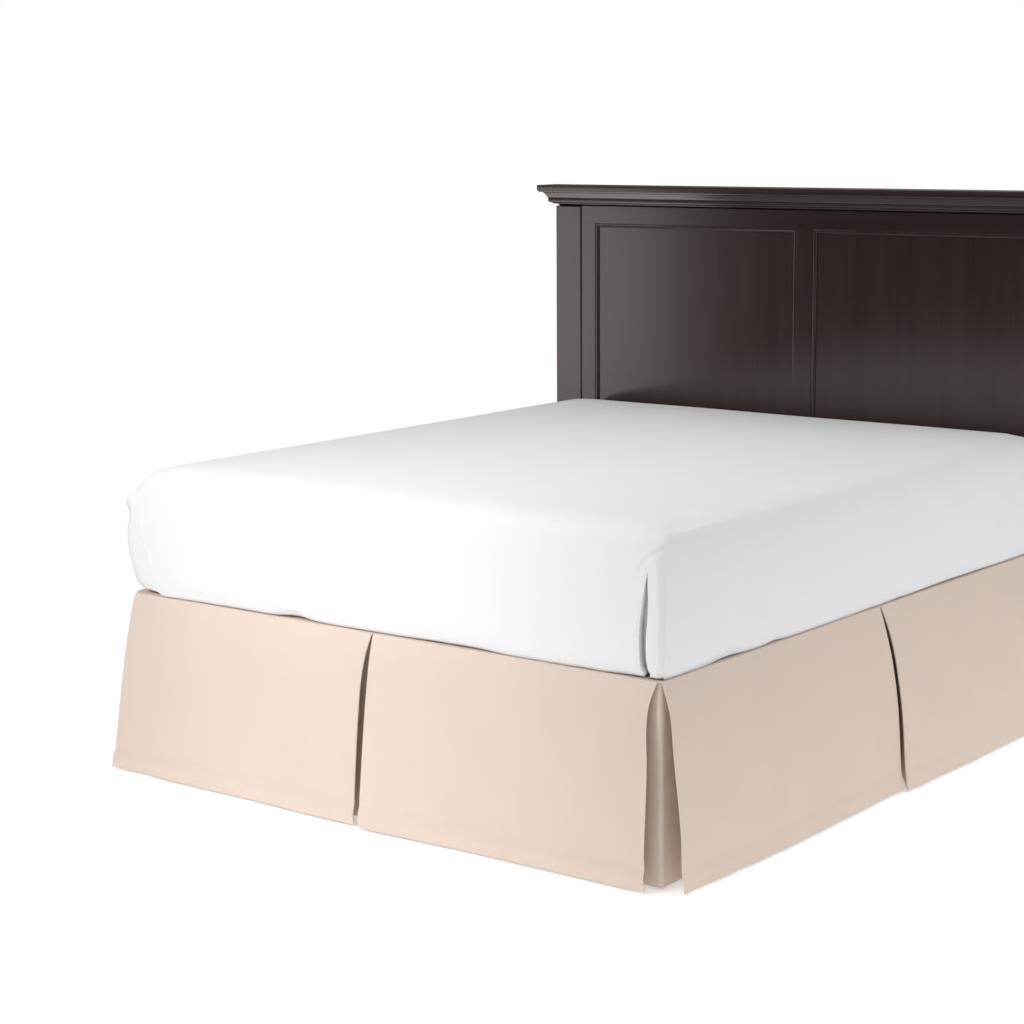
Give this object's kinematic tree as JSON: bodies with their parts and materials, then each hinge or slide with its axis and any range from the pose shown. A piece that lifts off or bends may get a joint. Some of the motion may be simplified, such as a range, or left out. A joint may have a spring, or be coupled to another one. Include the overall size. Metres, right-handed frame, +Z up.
{
  "type": "bed skirt on a bed",
  "caption": "Tailored cloth bed skirt with inverted pleats and split foot corners, hanging from a platform under the mattress of a bed with a panelled headboard.",
  "frame": {"origin": "on the floor under the middle of the bed and skirt, below the centre of the bounding box", "axes": "+Z up, +Y along the bed towards the headboard, +X to the right seen from the foot"},
  "size_m": [1.866, 2.0432, 1.41],
  "materials": {
    "skirt_cloth": "plain weave cotton blend in pale sand, crisp, matt, with faint slubs",
    "mattress_cover": "smooth white cotton sateen, matt",
    "box_ticking": "woven off-white ticking",
    "dark_wood": "espresso stain under satin lacquer, fine upright grain",
    "frame_steel": "black powder coat"
  },
  "bodies": {
    "root": {"skirt_platform": "skirt_cloth", "skirt_drop_foot": "skirt_cloth", "skirt_drop_right": "skirt_cloth", "skirt_drop_left": "skirt_cloth", "skirt_corner_right": "skirt_cloth", "skirt_corner_left": "skirt_cloth", "mattress": "mattress_cover", "box_spring": "box_ticking", "post_left": "dark_wood", "post_right": "dark_wood", "stile_left": "dark_wood", "stile_right": "dark_wood", "mullion": "dark_wood", "panel_left": "dark_wood", "panel_right": "dark_wood", "rail_top": "dark_wood", "rail_low": "dark_wood", "crown": "dark_wood", "side_rail_left": "frame_steel", "side_rail_right": "frame_steel", "cross_bar_1": "frame_steel", "cross_bar_2": "frame_steel", "cross_bar_3": "frame_steel", "head_bracket_left": "frame_steel", "head_bracket_right": "frame_steel", "leg_left_1": "frame_steel", "leg_left_2": "frame_steel", "leg_left_3": "frame_steel", "leg_middle_1": "frame_steel", "leg_middle_2": "frame_steel", "leg_middle_3": "frame_steel", "leg_right_1": "frame_steel", "leg_right_2": "frame_steel", "leg_right_3": "frame_steel"}
  },
  "joints": []
}
